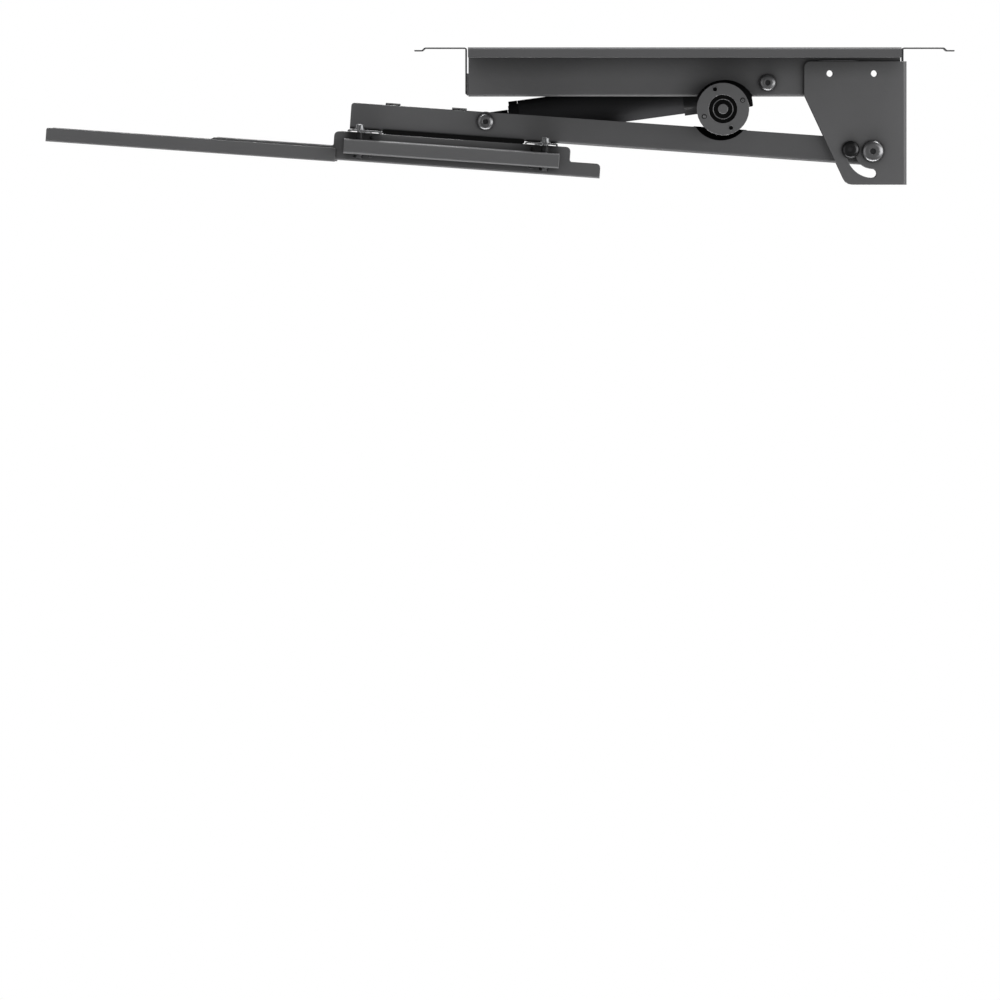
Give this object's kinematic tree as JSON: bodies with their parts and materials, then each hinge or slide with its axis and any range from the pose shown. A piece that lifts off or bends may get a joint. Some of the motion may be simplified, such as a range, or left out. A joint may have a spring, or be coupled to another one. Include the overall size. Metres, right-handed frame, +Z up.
{
  "type": "motorised flip-down tv ceiling mount",
  "caption": "Motorised flip-down television ceiling mount: plate with channel, cheeked hinge bracket, folding arm, linear actuator and rails on crossbars.",
  "frame": {"origin": "centre of the ceiling plate's top face, where the mount meets the ceiling", "axes": "+Z up into the ceiling, +X towards the fold hinge, -Y towards the side with the motor"},
  "size_m": [0.8855, 0.48, 0.134],
  "materials": {
    "coated": "matt black-grey powder coat",
    "black": "satin black",
    "zinc": "bright zinc",
    "chrome": "polished",
    "steel": "plain",
    "bronze": "machined",
    "nylon": "dark nylon",
    "plastic": "black, fine texture",
    "rubber": "black"
  },
  "bodies": {
    "ceiling_frame": {"ceiling_plate": "coated", "main_channel": "coated", "end_bracket_left": "coated", "end_bracket_right": "coated", "hinge_bracket": "coated", "pivot_shaft": "steel", "pivot_bolt_near": "zinc", "pivot_bolt_far": "zinc", "actuator_bolt": "zinc", "actuator_nut": "zinc", "actuator_spacer_near": "steel", "actuator_spacer_far": "steel", "control_box": "plastic", "control_box_lid": "plastic", "power_inlet": "plastic"},
    "arm": {"arm_channel": "coated", "pivot_bush_near": "nylon", "pivot_bush_far": "nylon", "guide_bolt_near": "zinc", "guide_roller_near": "nylon", "guide_bolt_far": "zinc", "guide_roller_far": "nylon", "rod_bolt_near": "zinc", "rod_sleeve_near": "steel", "rod_bolt_far": "zinc", "rod_sleeve_far": "steel", "cable_clip_inner": "plastic", "cable_clip_outer": "plastic", "crossbar_inner": "zinc", "crossbar_outer": "zinc", "spreader_plate": "coated"},
    "actuator": {"gearbox_housing": "black", "gearbox_cover": "black", "screw_bearing": "steel", "actuator_tube": "black", "rear_collar": "black", "front_collar": "black", "wiper_seal": "rubber", "motor_can": "black", "motor_end_cap": "coated", "motor_armature": "steel", "worm_wheel": "bronze", "lead_screw": "steel"},
    "rod": {"rod_tube": "chrome", "drive_nut": "bronze", "rod_eye": "black", "rod_eye_pin": "zinc"},
    "rail_near": {"rail_near": "coated", "rail_extension_near": "coated", "side_bar_near": "coated", "lock_screw_near_inner": "zinc", "lock_screw_near_outer": "zinc"},
    "rail_far": {"rail_far": "coated", "rail_extension_far": "coated", "side_bar_far": "coated", "lock_screw_far_inner": "zinc", "lock_screw_far_outer": "zinc"}
  },
  "joints": [
    {"name": "arm_fold", "type": "hinge", "parent": "ceiling_frame", "child": "arm", "pos_m": [0.184, 0, -0.1012], "axis": [0, -1, 0], "range_deg": [0, 78.75]},
    {"name": "actuator_swing", "type": "hinge", "parent": "ceiling_frame", "child": "actuator", "pos_m": [0.0813, 0, -0.0343], "axis": [0, -1, 0], "range_deg": [0, 82.22]},
    {"name": "rod_extend", "type": "slide", "parent": "actuator", "child": "rod", "axis": [-0.9905, 0, -0.1373], "range_m": [0, 0.1542]},
    {"name": "rail_near_slide", "type": "slide", "parent": "arm", "child": "rail_near", "axis": [0, 1, 0], "range_m": [0, 0.1]},
    {"name": "rail_far_slide", "type": "slide", "parent": "arm", "child": "rail_far", "axis": [0, -1, 0], "range_m": [0, 0.1]}
  ],
  "couplings": [
    {"joint": "actuator_swing", "follows": "arm_fold", "ratio": 1.0439},
    {"joint": "rod_extend", "follows": "arm_fold", "m_per_rad": 0.11212}
  ]
}
